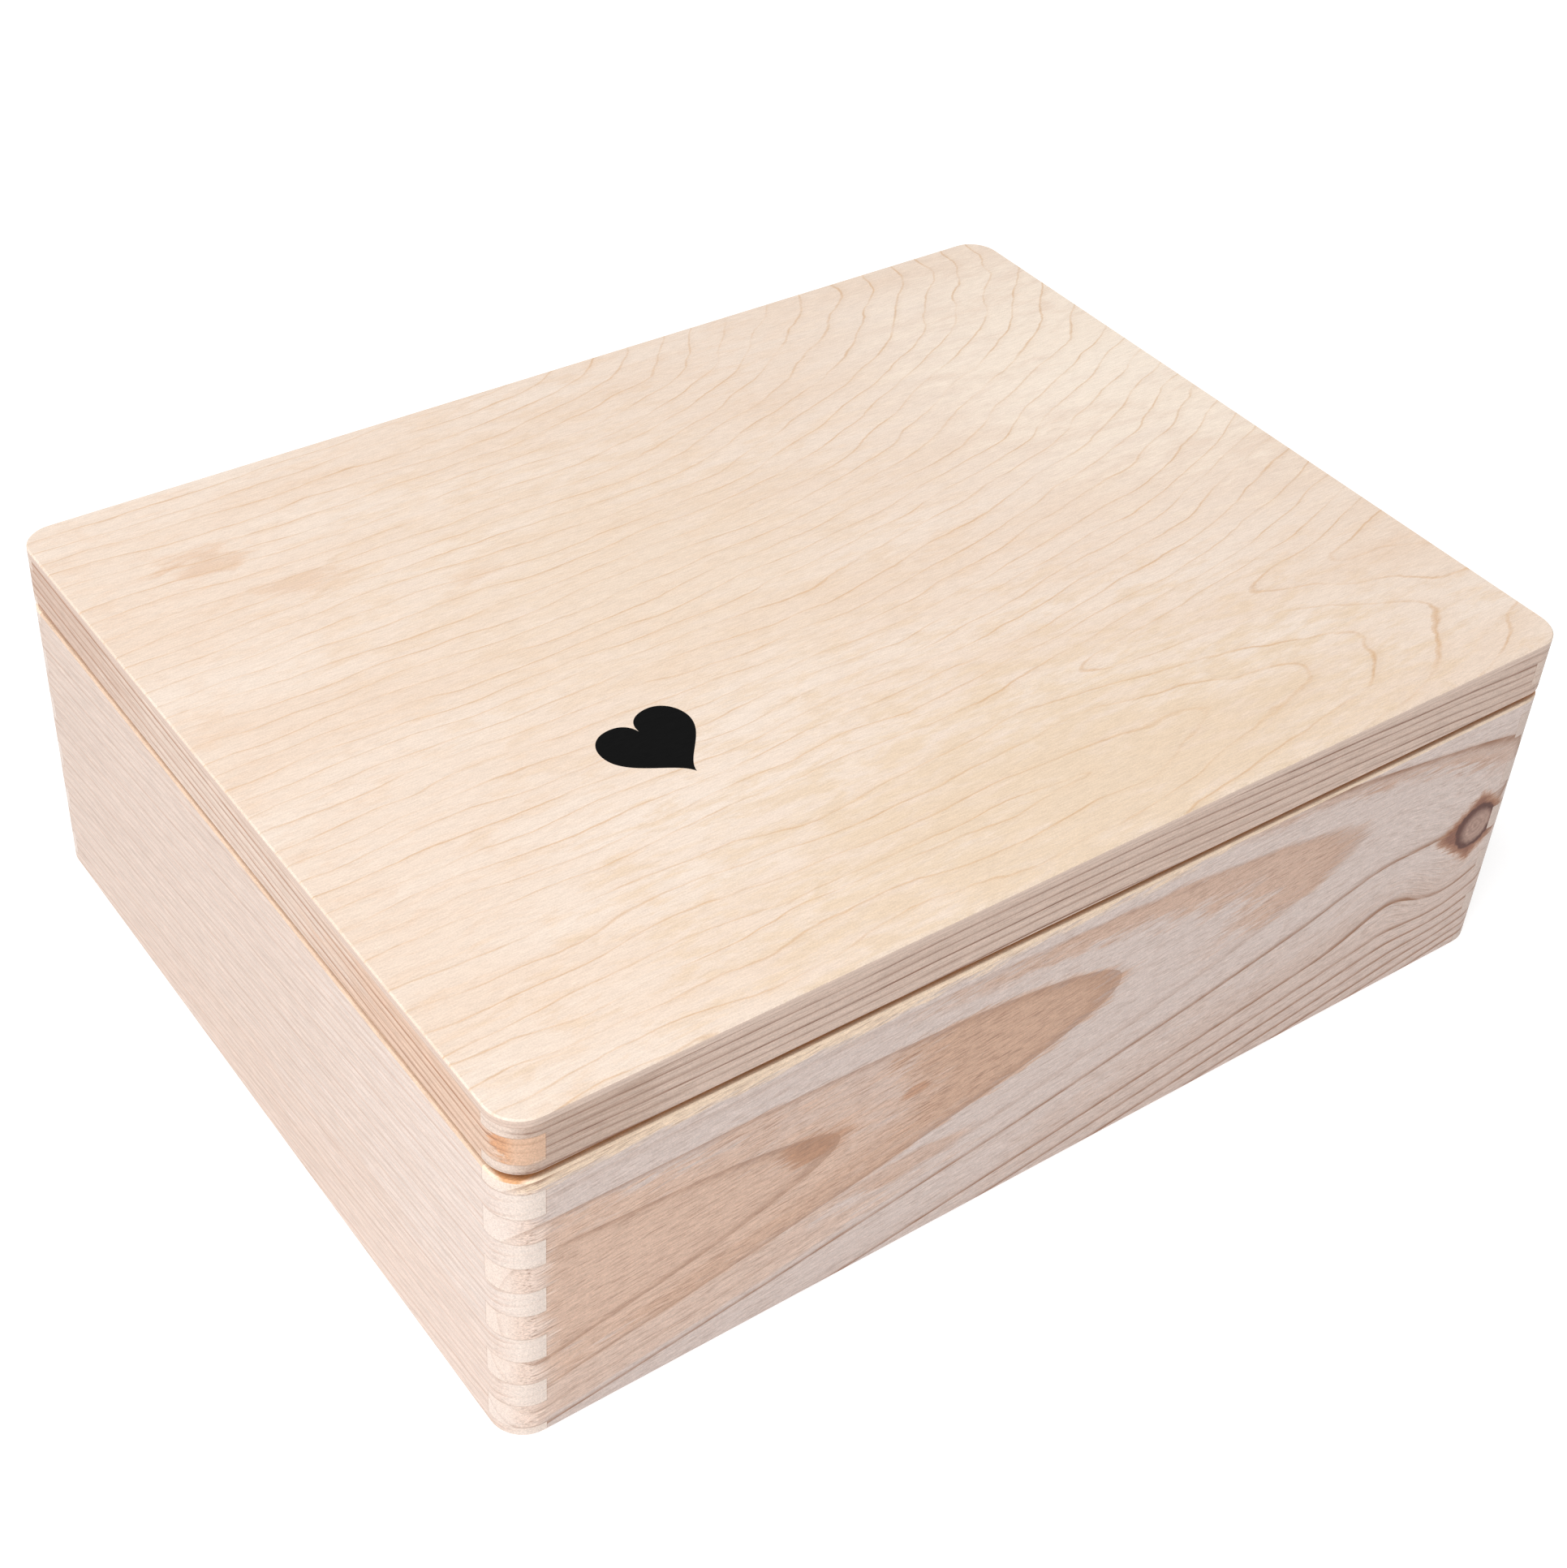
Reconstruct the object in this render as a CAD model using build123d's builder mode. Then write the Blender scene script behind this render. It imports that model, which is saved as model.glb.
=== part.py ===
from build123d import *
from math import radians, tan
import os

os.makedirs("parts", exist_ok=True)

# A hinged keepsake box of raw pine with finger-jointed corners and plywood top and bottom.
# Millimetres. X runs along the front, Y from front to back and Z up.
# The origin is the centre of the underside, and the lid is closed.

# Outside of the box
box_length = 400.0
box_depth = 305.0
wall = 12.0
corner_radius = 11.0

# The carcass is glued up as one closed frame, then sawn apart into base and lid
base_height = 109.0
saw_kerf = 1.0
lid_frame_height = 18.0
lid_panel_thickness = 3.0

# Finger joints, counted up from the underside, where the boards were ripped through a finger
first_finger = 4.0
finger = 10.0

# Sanded edges
foot_ease = 0.8
rim_ease = 0.6
lid_seam_ease = 0.5
lid_top_ease = 0.5
inner_ease = 0.5

# Bottom panel in its groove
bottom_thickness = 4.0
bottom_lift = 5.0
groove_depth = 5.0
groove_end_gap = 0.3

# Two butt hinges, laid on the rim without recesses, so their leaves hold the seam open
hinge_inset = 70.0
leaf_length = 30.0
leaf_thickness = 1.2
leaf_gap = 0.2
leaf_inset = 1.0
leaf_corner_clip = 0.8
knuckle_count = 3
knuckle_gap = 0.15
knuckle_notch = 0.3
pin_radius = 1.0
pin_clearance = 0.05
pin_setback = 1.8

# Countersunk wood screws, two in each leaf
screw_spacing = 18.0
screw_length = 10.0
screw_radius = 1.1
head_radius = 2.2
head_sink = 0.05
head_angle = 90.0
screw_clearance = 0.05
pilot_extra = 0.5

# Places that follow from the sizes above
inner_length = box_length - 2 * wall
inner_depth = box_depth - 2 * wall
back_face = box_depth / 2
seam_gap = 2 * leaf_thickness + leaf_gap
carcass_height = base_height + saw_kerf + lid_frame_height
lid_lift = seam_gap - saw_kerf
lid_bottom = base_height + seam_gap
lid_frame_top = lid_bottom + lid_frame_height
lid_top = lid_frame_top + lid_panel_thickness
pin_y = back_face + pin_setback
pin_z = base_height + seam_gap / 2
knuckle_radius = pin_radius + pin_clearance + leaf_thickness
knuckle_pitch = leaf_length / knuckle_count
leaf_front = back_face - wall + leaf_inset
leaf_back = pin_y - knuckle_radius - knuckle_notch
screw_y = (leaf_front + back_face - rim_ease) / 2
hinge_places = {"left": hinge_inset - box_length / 2, "right": box_length / 2 - hinge_inset}


def finger_cells(low, high):
    """Heights of the finger cells between two heights of the carcass, and whether a side board owns each."""
    cells = []
    cell_low = 0.0
    cell_high = first_finger
    side_owns = True
    while cell_low < high:
        if cell_high > low:
            cells.append((max(cell_low, low), min(cell_high, high), side_owns))
        cell_low = cell_high
        cell_high += finger
        side_owns = not side_owns
    return cells


def comb_face(length, low, high, lift, is_side):
    """Elevation of one board: a strip whose ends keep only the fingers that the board owns."""
    with Locations((0, (low + high) / 2 + lift)):
        Rectangle(length, high - low)
    for cell_low, cell_high, side_owns in finger_cells(low, high):
        if side_owns != is_side:
            ends = [(side * (length - wall) / 2, (cell_low + cell_high) / 2 + lift) for side in (-1, 1)]
            with Locations(*ends):
                Rectangle(wall, cell_high - cell_low, mode=Mode.SUBTRACT)


def rounded_block(low, high, low_bevel, high_bevel):
    """Outer shape of base or lid: rounded upright corners, with a small bevel below and above."""
    with BuildPart() as block:
        with BuildSketch(Plane.XY.offset(low)):
            RectangleRounded(box_length, box_depth, corner_radius)
        extrude(amount=high - low)
        chamfer(block.edges().group_by(Axis.Z)[-1], high_bevel)
        chamfer(block.edges().group_by(Axis.Z)[0], low_bevel)
    return block.part


def rim_bevel(height, inward):
    """Bevel round the inner edge of a rim: what it takes away, flaring towards the saw cut."""
    with BuildPart() as bevel:
        with BuildSketch(Plane.XY.offset(height - inward * inner_ease)):
            Rectangle(inner_length, inner_depth)
        extrude(amount=inward * inner_ease, taper=-45)
    return bevel.part


def screw_places(hinge_x):
    return [(hinge_x + side * screw_spacing / 2, screw_y) for side in (-1, 1)]


def pilot_holes(height, direction):
    """Pilot holes for both hinges, from the rim at this height into the wood."""
    with BuildPart() as holes:
        with BuildSketch(Plane.XY.offset(height)):
            for hinge_x in hinge_places.values():
                with Locations(*screw_places(hinge_x)):
                    Circle(screw_radius + screw_clearance)
        extrude(amount=direction * (screw_length - leaf_thickness + pilot_extra))
    return holes.part


base_block = rounded_block(0, base_height, foot_ease, rim_ease)
lid_block = rounded_block(lid_bottom, lid_top, lid_seam_ease, lid_top_ease)

# Groove for the bottom panel, routed round the inside of the base
with BuildPart() as groove:
    with BuildSketch(Plane.XY.offset(bottom_lift)):
        Rectangle(inner_length + 2 * groove_depth, inner_depth + 2 * groove_depth)
    extrude(amount=bottom_thickness)

# Elevation planes at the outer face of the front and left boards and at the inner face of the
# back and right ones, so that every board is extruded towards +Y or +X by the wall's thickness
board_planes = {
    "front": (Plane.XZ.offset(back_face), -wall),
    "back": (Plane.XZ.offset(wall - back_face), -wall),
    "left": (Plane.YZ.offset(-box_length / 2), wall),
    "right": (Plane.YZ.offset(box_length / 2 - wall), wall),
}

for place, (plane, thickness) in board_planes.items():
    is_side = place in ("left", "right")
    board_length = box_depth if is_side else box_length

    # Base board: fingers up to the saw cut, and the groove that holds the bottom
    with BuildPart() as board:
        with BuildSketch(plane):
            comb_face(board_length, 0, base_height, 0, is_side)
        extrude(amount=thickness)
        add(base_block, mode=Mode.INTERSECT)
        add(groove.part, mode=Mode.SUBTRACT)
        add(rim_bevel(base_height, 1), mode=Mode.SUBTRACT)
        if place == "back":
            add(pilot_holes(base_height, -1), mode=Mode.SUBTRACT)
    board.part.label = f"{place}_board"
    export_step(board.part, f"parts/{place}_board.step")

    # Lid rail: the same fingers above the saw cut, raised by the open seam
    with BuildPart() as rail:
        with BuildSketch(plane):
            comb_face(board_length, base_height + saw_kerf, carcass_height, lid_lift, is_side)
        extrude(amount=thickness)
        add(lid_block, mode=Mode.INTERSECT)
        add(rim_bevel(lid_bottom, -1), mode=Mode.SUBTRACT)
        if place == "back":
            add(pilot_holes(lid_bottom, 1), mode=Mode.SUBTRACT)
    rail.part.label = f"lid_{place}_rail"
    export_step(rail.part, f"parts/lid_{place}_rail.step")

# Plywood over the whole lid frame, rounded with it at the corners
with BuildPart() as lid_panel:
    with BuildSketch(Plane.XY.offset(lid_frame_top)):
        Rectangle(box_length, box_depth)
    extrude(amount=lid_panel_thickness)
    add(lid_block, mode=Mode.INTERSECT)
lid_panel.part.label = "lid_panel"
export_step(lid_panel.part, "parts/lid_panel.step")

# Plywood bottom, loose in the length and depth of its groove
panel_margin = 2 * (groove_depth - groove_end_gap)
with BuildPart() as bottom_panel:
    with BuildSketch(Plane.XY.offset(bottom_lift)):
        Rectangle(inner_length + panel_margin, inner_depth + panel_margin)
    extrude(amount=bottom_thickness)
bottom_panel.part.label = "bottom_panel"
export_step(bottom_panel.part, "parts/bottom_panel.step")


def hinge_leaf(hinge_x, plate_low, facing, first_knuckle):
    """Leaf with every second knuckle rolled round the pin; facing is +1 where the screws go down."""
    plate_depth = leaf_back - leaf_front
    face_z = plate_low + leaf_thickness if facing > 0 else plate_low
    with BuildPart() as leaf:
        with BuildSketch(Plane.XY.offset(plate_low)):
            with Locations((hinge_x, (leaf_front + leaf_back) / 2)):
                plate = Rectangle(leaf_length, plate_depth)
            chamfer(plate.vertices().group_by(Axis.Y)[0], leaf_corner_clip)
        extrude(amount=leaf_thickness)
        for knuckle in range(first_knuckle, knuckle_count, 2):
            knuckle_start = hinge_x - leaf_length / 2 + knuckle * knuckle_pitch + knuckle_gap / 2
            with BuildSketch(Plane.YZ.offset(knuckle_start)):
                with Locations((pin_y, pin_z)):
                    Circle(knuckle_radius)
                with Locations(((leaf_back + pin_y) / 2, plate_low + leaf_thickness / 2)):
                    Rectangle(pin_y - leaf_back, leaf_thickness)
            extrude(amount=knuckle_pitch - knuckle_gap)
        with BuildSketch(Plane.YZ.offset(hinge_x)):
            with Locations((pin_y, pin_z)):
                Circle(pin_radius + pin_clearance)
        extrude(amount=leaf_length, both=True, mode=Mode.SUBTRACT)
        with BuildSketch(Plane.XY.offset(face_z)):
            with Locations(*screw_places(hinge_x)):
                Circle(head_radius + head_sink + screw_clearance)
        extrude(amount=-facing * leaf_thickness, taper=head_angle / 2, mode=Mode.SUBTRACT)
    return leaf.part


def screw_pair(hinge_x, face_z, facing):
    """Two countersunk screws, their heads just under the leaf's face; facing is +1 for heads up."""
    head_z = face_z - facing * head_sink
    head_height = (head_radius - screw_radius) / tan(radians(head_angle / 2))
    with BuildPart() as screws:
        for screw_x, y in screw_places(hinge_x):
            # Half section: distance from the screw's axis, and depth below its head
            with BuildSketch(Plane(origin=(screw_x, y, head_z), x_dir=(1, 0, 0), z_dir=(0, facing, 0))):
                with BuildLine():
                    Polyline(
                        (0, 0),
                        (head_radius, 0),
                        (screw_radius, head_height),
                        (screw_radius, screw_length),
                        (0, screw_length),
                        close=True,
                    )
                make_face()
            revolve(axis=Axis((screw_x, y, head_z), (0, 0, 1)))
    return screws.part


for place, hinge_x in hinge_places.items():
    base_leaf = hinge_leaf(hinge_x, base_height, 1, 0)
    base_leaf.label = f"{place}_hinge_base_leaf"
    export_step(base_leaf, f"parts/{place}_hinge_base_leaf.step")

    lid_leaf = hinge_leaf(hinge_x, lid_bottom - leaf_thickness, -1, 1)
    lid_leaf.label = f"{place}_hinge_lid_leaf"
    export_step(lid_leaf, f"parts/{place}_hinge_lid_leaf.step")

    base_screws = screw_pair(hinge_x, base_height + leaf_thickness, 1)
    base_screws.label = f"{place}_hinge_base_screws"
    export_step(base_screws, f"parts/{place}_hinge_base_screws.step")

    lid_screws = screw_pair(hinge_x, lid_bottom - leaf_thickness, -1)
    lid_screws.label = f"{place}_hinge_lid_screws"
    export_step(lid_screws, f"parts/{place}_hinge_lid_screws.step")

    # The pin turns in the lid's knuckles and stays with the base's
    with BuildPart() as pin:
        with BuildSketch(Plane.YZ.offset(hinge_x - leaf_length / 2)):
            with Locations((pin_y, pin_z)):
                Circle(pin_radius)
        extrude(amount=leaf_length)
    pin.part.label = f"{place}_hinge_pin"
    export_step(pin.part, f"parts/{place}_hinge_pin.step")
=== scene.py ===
import math

import bpy
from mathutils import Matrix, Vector


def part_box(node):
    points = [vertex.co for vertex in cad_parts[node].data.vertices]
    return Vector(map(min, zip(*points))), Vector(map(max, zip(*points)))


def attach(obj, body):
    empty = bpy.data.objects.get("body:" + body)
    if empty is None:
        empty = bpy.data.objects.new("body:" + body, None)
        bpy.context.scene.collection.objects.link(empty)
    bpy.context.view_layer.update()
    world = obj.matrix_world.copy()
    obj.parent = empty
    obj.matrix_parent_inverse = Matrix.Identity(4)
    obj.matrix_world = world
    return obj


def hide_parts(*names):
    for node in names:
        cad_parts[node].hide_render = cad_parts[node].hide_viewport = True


# A low keepsake box of raw pine with finger-jointed corners and a birch plywood lid, hinged at the back.
# Metres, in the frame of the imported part: X along the front, Y to the back, Z up.
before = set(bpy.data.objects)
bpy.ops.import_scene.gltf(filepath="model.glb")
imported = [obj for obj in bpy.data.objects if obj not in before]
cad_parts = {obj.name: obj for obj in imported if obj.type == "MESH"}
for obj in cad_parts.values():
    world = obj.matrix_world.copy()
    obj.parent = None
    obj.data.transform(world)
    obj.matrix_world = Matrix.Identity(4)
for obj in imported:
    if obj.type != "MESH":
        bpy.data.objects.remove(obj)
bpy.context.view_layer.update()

# The camera stands off the left front corner and looks down on the box through a long lens,
# leaning a little to one side, as it was held for the photograph.
camera_place = (-0.4173, -0.5280, 0.6136)
camera_turn = (49.894, -3.275, -35.660)
camera_lens_mm = 58.595
camera_film_mm = 36.0
bpy.ops.object.camera_add(location=camera_place, rotation=[math.radians(angle) for angle in camera_turn])
camera = bpy.context.object
camera.name = "camera"
camera.data.lens = camera_lens_mm
camera.data.sensor_width = camera_film_mm
bpy.context.scene.camera = camera

# Plain studio light: a white room that fills every shadow, one large soft box high on the left, and a
# small card beside the left side, so that the lid and that side are bright and the front a step darker.
room_strength = 0.40
soft_box_place = Vector((-1.35, -0.42, 2.80))
soft_box_size = 1.6
soft_box_watts = 84.0
card_place = Vector((-0.80, -0.52, 0.28))
card_size = 0.4
card_watts = 0.8
room = bpy.data.worlds.new("white_room")
room.use_nodes = True
room.node_tree.nodes["Background"].inputs["Color"].default_value = (1.0, 1.0, 1.0, 1.0)
room.node_tree.nodes["Background"].inputs["Strength"].default_value = room_strength
bpy.context.scene.world = room
bpy.context.scene.view_settings.view_transform = "Standard"
for lamp_name, lamp_place, lamp_size, lamp_watts in (
    ("soft_box", soft_box_place, soft_box_size, soft_box_watts),
    ("card", card_place, card_size, card_watts),
):
    lamp_turn = (-lamp_place).to_track_quat("-Z", "Y").to_euler()
    bpy.ops.object.light_add(type="AREA", location=lamp_place, rotation=lamp_turn)
    lamp = bpy.context.object
    lamp.name = lamp_name
    lamp.data.size = lamp_size
    lamp.data.energy = lamp_watts

# The base and the frame of the lid are eight boards of knotty pine, planed, finger-jointed at the
# corners, glued and sanded, and left raw. Sawn from fast-grown logs, they show broad yearly rings:
# pale early wood that darkens to a tan band and stops sharply. Each board's own log is placed here.
board_mm = 12.0
finger_mm = 10.0
first_finger_mm = 4.0
saw_kerf_mm = 1.0
# A reach so long that the place along it doesn't count
endless_mm = 1e6
base_low, base_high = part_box("front_board")
side_mm = base_high.x * 1000
front_mm = base_low.y * 1000
rim_mm = base_high.z * 1000
lid_rim_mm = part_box("lid_front_rail")[0].z * 1000


def linear(hex_colour):
    """An sRGB hex colour as linear red, green, blue and alpha."""
    channels = [int(hex_colour[start:start + 2], 16) / 255 for start in (1, 3, 5)]
    return [c / 12.92 if c <= 0.04045 else ((c + 0.055) / 1.055) ** 2.4 for c in channels] + [1.0]


def fill(tree, node, sockets):
    """Gives a node's sockets, known by name or by number among those shown, their values or links."""
    shown = [socket for socket in node.inputs if socket.enabled]
    for key, value in sockets.items():
        socket = shown[key] if isinstance(key, int) else next(s for s in shown if s.name == key)
        if isinstance(value, bpy.types.Node):
            value = next(output for output in value.outputs if output.enabled)
        if isinstance(value, bpy.types.NodeSocket):
            tree.links.new(value, socket)
        else:
            socket.default_value = value


def add_node(tree, kind, sockets, stops=(), **settings):
    """Adds a node with its settings, sets its curve or ramp to the stops, and fills its sockets."""
    node = tree.nodes.new(kind)
    for setting, value in settings.items():
        setattr(node, setting, value)
    # A new curve or ramp has two stops, which become its ends
    ends_first = [*stops[:1], *stops[-1:], *stops[1:-1]]
    if kind == "ShaderNodeFloatCurve":
        curve = node.mapping.curves[0]
        for number, place in enumerate(ends_first):
            point = curve.points[number] if number < 2 else curve.points.new(*place)
            point.location = place
            point.handle_type = "VECTOR"
        node.mapping.update()
    elif stops:
        ramp = node.color_ramp
        for number, (position, value) in enumerate(ends_first):
            element = ramp.elements[number] if number < 2 else ramp.elements.new(position)
            element.position = position
            element.color = (value, value, value, 1.0)
    fill(tree, node, sockets)
    return node


def bare_material(name, grain_mm=(1.0, 1.0, 1.0)):
    """A new material, its nodes, the facts of its surface, and the place on it, in units of grain_mm."""
    material = bpy.data.materials.new(name)
    material.use_nodes = True
    tree = material.node_tree
    surface = add_node(tree, "ShaderNodeTexCoord", {})
    place = add_node(tree, "ShaderNodeMapping",
                     {"Vector": surface.outputs["Object"], "Scale": [size / 1000 for size in grain_mm]},
                     vector_type="TEXTURE")
    return material, tree, surface, place


def dress(node_name, material):
    """Gives a CAD node its material, in place of the plain one it came with."""
    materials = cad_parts[node_name].data.materials
    materials.clear()
    materials.append(material)


def sanded_wood(tree, colour, place, fibre, fibre_shades, grit_per_mm, grit_shades, roughness, relief,
                relief_m):
    """The surface of sanded wood. The noise of its fibres and the grit of the sanding each darken and
    lighten the colour between two shades, and the fibres stand up by a share, relief, of relief_m."""
    shade = add_node(tree, "ShaderNodeMapRange",
                     {"Value": fibre.outputs["Fac"], "From Min": 0.25, "From Max": 0.75,
                      "To Min": fibre_shades[0], "To Max": fibre_shades[1]})
    grit = add_node(tree, "ShaderNodeTexNoise", {"Vector": place, "Scale": grit_per_mm, "Detail": 1.0})
    grit = add_node(tree, "ShaderNodeMapRange",
                    {"Value": grit.outputs["Fac"], "From Min": 0.3, "From Max": 0.7,
                     "To Min": grit_shades[0], "To Max": grit_shades[1]})
    shade = add_node(tree, "ShaderNodeMath", {0: shade, 1: grit}, operation="MULTIPLY")
    colour = add_node(tree, "ShaderNodeVectorMath", {0: colour, "Scale": shade}, operation="SCALE")
    raised = add_node(tree, "ShaderNodeBump", {"Height": fibre.outputs["Fac"], "Strength": relief,
                                               "Distance": relief_m})
    fill(tree, tree.nodes["Principled BSDF"],
         {"Base Color": colour, "Roughness": roughness, "IOR": 1.45, "Normal": raised})


def bent_grain(tree, place, bends, knots):
    """The place in the board, with the grain bent here and there and flowing round each knot. A bend is its
    middle and its reach, both along and up the front, and how far it lifts the grain. A knot is its middle,
    its radius and how much it pushes the grain aside."""
    board = place
    for along, up, reach_along, reach_up, lift in bends:
        near = add_node(tree, "ShaderNodeMapping",
                        {"Vector": place, "Location": (along, front_mm, up),
                         "Scale": (reach_along, 100.0, reach_up)}, vector_type="TEXTURE")
        near = add_node(tree, "ShaderNodeVectorMath", {0: near}, operation="LENGTH")
        near = add_node(tree, "ShaderNodeMapRange",
                        {"Value": near.outputs["Value"], "From Min": 1.0, "From Max": 0.0},
                        interpolation_type="SMOOTHSTEP")
        board = add_node(tree, "ShaderNodeVectorMath", {0: near, 1: (0.0, 0.0, -lift), 2: board},
                         operation="MULTIPLY_ADD")
    for knot_mm, knot_radius, squeeze in knots:
        away = add_node(tree, "ShaderNodeVectorMath", {0: board, 1: knot_mm}, operation="SUBTRACT")
        reach = add_node(tree, "ShaderNodeVectorMath", {0: away, 1: (1 / 34, 0.0, 1 / 24)},
                         operation="MULTIPLY")
        distance = add_node(tree, "ShaderNodeVectorMath", {0: reach}, operation="LENGTH")
        pull = add_node(tree, "ShaderNodeMapRange",
                        {"Value": distance.outputs["Value"], "From Min": 0.0, "From Max": 1.0,
                         "To Min": -squeeze, "To Max": 0.0}, interpolation_type="SMOOTHSTEP")
        shift = add_node(tree, "ShaderNodeVectorMath", {0: away, "Scale": pull}, operation="SCALE")
        board = add_node(tree, "ShaderNodeVectorMath", {0: shift, 1: (0.0, 0.0, 1.0), 2: board},
                         operation="MULTIPLY_ADD")
    return board


def yearly_growth(tree, radius, rings_mm, late_wood):
    """For a radius in the log: how far through its year the wood there grew, how far in millimetres it lies
    from where that year starts and ends, and how dark that year's late wood is."""
    first, last = rings_mm[0], rings_mm[-1]
    years = len(rings_mm) - 1
    growth = [((ring - first) / (last - first), number / years) for number, ring in enumerate(rings_mm)]
    share = add_node(tree, "ShaderNodeMapRange", {"Value": radius, "From Min": first, "From Max": last})
    year = add_node(tree, "ShaderNodeFloatCurve", {"Value": share}, stops=growth)
    year = add_node(tree, "ShaderNodeMath", {0: year, 1: years}, operation="MULTIPLY")
    season = add_node(tree, "ShaderNodeMath", {0: year}, operation="FRACT")
    count = add_node(tree, "ShaderNodeMath", {0: year}, operation="FLOOR")
    from_edges = []
    for step in (0.0, 1.0):
        edge = add_node(tree, "ShaderNodeMath", {0: count, 1: step}, operation="ADD")
        edge = add_node(tree, "ShaderNodeMath", {0: edge, 1: years}, operation="DIVIDE")
        edge = add_node(tree, "ShaderNodeFloatCurve", {"Value": edge},
                        stops=[(number, ring) for ring, number in growth])
        edge = add_node(tree, "ShaderNodeMapRange", {"Value": edge, "To Min": first, "To Max": last})
        edge = add_node(tree, "ShaderNodeMath", {0: radius, 1: edge}, operation="SUBTRACT")
        from_edges.append(add_node(tree, "ShaderNodeMath", {0: edge}, operation="ABSOLUTE"))
    since_start, until_end = from_edges
    year_share = add_node(tree, "ShaderNodeMath", {0: count, 1: years}, operation="DIVIDE")
    darkness = add_node(tree, "ShaderNodeFloatCurve", {"Value": year_share},
                        stops=[(number / years, late_wood[number % len(late_wood)])
                               for number in range(years + 1)])
    return season, since_start, until_end, darkness


def knot_colour(tree, colour, place, streaks, knot_mm, knot_radius):
    """A knot: a mauve core of its own fine rings inside a dark red-brown bark line. Orange-brown wood lies
    round it in a lozenge that points along the grain."""
    rough = add_node(tree, "ShaderNodeTexNoise", {"Vector": place, "Scale": 0.4, "Detail": 3.0})
    rough = add_node(tree, "ShaderNodeMath", {0: rough.outputs["Fac"], 1: 0.4, 2: -0.2},
                     operation="MULTIPLY_ADD")
    core = add_node(tree, "ShaderNodeMapping",
                    {"Vector": place, "Location": knot_mm, "Scale": (knot_radius, endless_mm, knot_radius)},
                    vector_type="TEXTURE")
    distance = add_node(tree, "ShaderNodeVectorMath", {0: core}, operation="LENGTH")
    distance = add_node(tree, "ShaderNodeMath", {0: distance.outputs["Value"], 1: rough}, operation="ADD")

    # The lozenge reaches two radii along the grain and one and a half across it
    lozenge = add_node(tree, "ShaderNodeVectorMath", {0: core}, operation="ABSOLUTE")
    lozenge = add_node(tree, "ShaderNodeVectorMath", {0: lozenge, 1: (0.50, 0.0, 0.62)},
                       operation="DOT_PRODUCT")
    lozenge = add_node(tree, "ShaderNodeMath", {0: rough, 1: 0.8, 2: lozenge.outputs["Value"]},
                       operation="MULTIPLY_ADD")
    lozenge = add_node(tree, "ShaderNodeMath", {0: streaks, 1: -0.3, 2: lozenge}, operation="MULTIPLY_ADD")
    halo = add_node(tree, "ShaderNodeMapRange", {"Value": lozenge, "From Min": 1.12, "From Max": 0.84,
                                                 "To Max": 0.95}, interpolation_type="SMOOTHSTEP")
    dark_halo = add_node(tree, "ShaderNodeMapRange", {"Value": lozenge, "From Min": 1.1, "From Max": 0.7})
    amber = add_node(tree, "ShaderNodeMix", {"Factor": dark_halo, "A": linear("#C0906F"),
                                             "B": linear("#7E4A32")}, data_type="RGBA")
    colour = add_node(tree, "ShaderNodeMix", {"Factor": halo, "A": colour, "B": amber}, data_type="RGBA")

    # The core is palest a little off its middle
    within = add_node(tree, "ShaderNodeMapRange", {"Value": distance, "From Min": 1.0, "From Max": 0.9})
    off_middle = add_node(tree, "ShaderNodeVectorMath", {0: core, 1: (0.16, 0.0, -0.12)},
                          operation="SUBTRACT")
    off_middle = add_node(tree, "ShaderNodeVectorMath", {0: off_middle}, operation="LENGTH")
    shaded = add_node(tree, "ShaderNodeMapRange",
                      {"Value": off_middle.outputs["Value"], "From Min": 0.45, "From Max": 1.0},
                      interpolation_type="SMOOTHSTEP")
    middle = add_node(tree, "ShaderNodeMix", {"Factor": shaded, "A": linear("#B89788"),
                                              "B": linear("#623527")}, data_type="RGBA")
    colour = add_node(tree, "ShaderNodeMix", {"Factor": within, "A": colour, "B": middle},
                      data_type="RGBA")
    bark = add_node(tree, "ShaderNodeValToRGB", {"Fac": distance},
                    stops=((0.0, 0.45), (0.16, 0.12), (0.30, 0.4), (0.38, 0.1), (0.54, 0.3), (0.62, 0.12),
                           (0.76, 0.55), (0.84, 1.0), (0.93, 0.95), (1.0, 0.0)))
    return add_node(tree, "ShaderNodeMix", {"Factor": bark, "A": colour, "B": linear("#572D21")},
                    data_type="RGBA")


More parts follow.
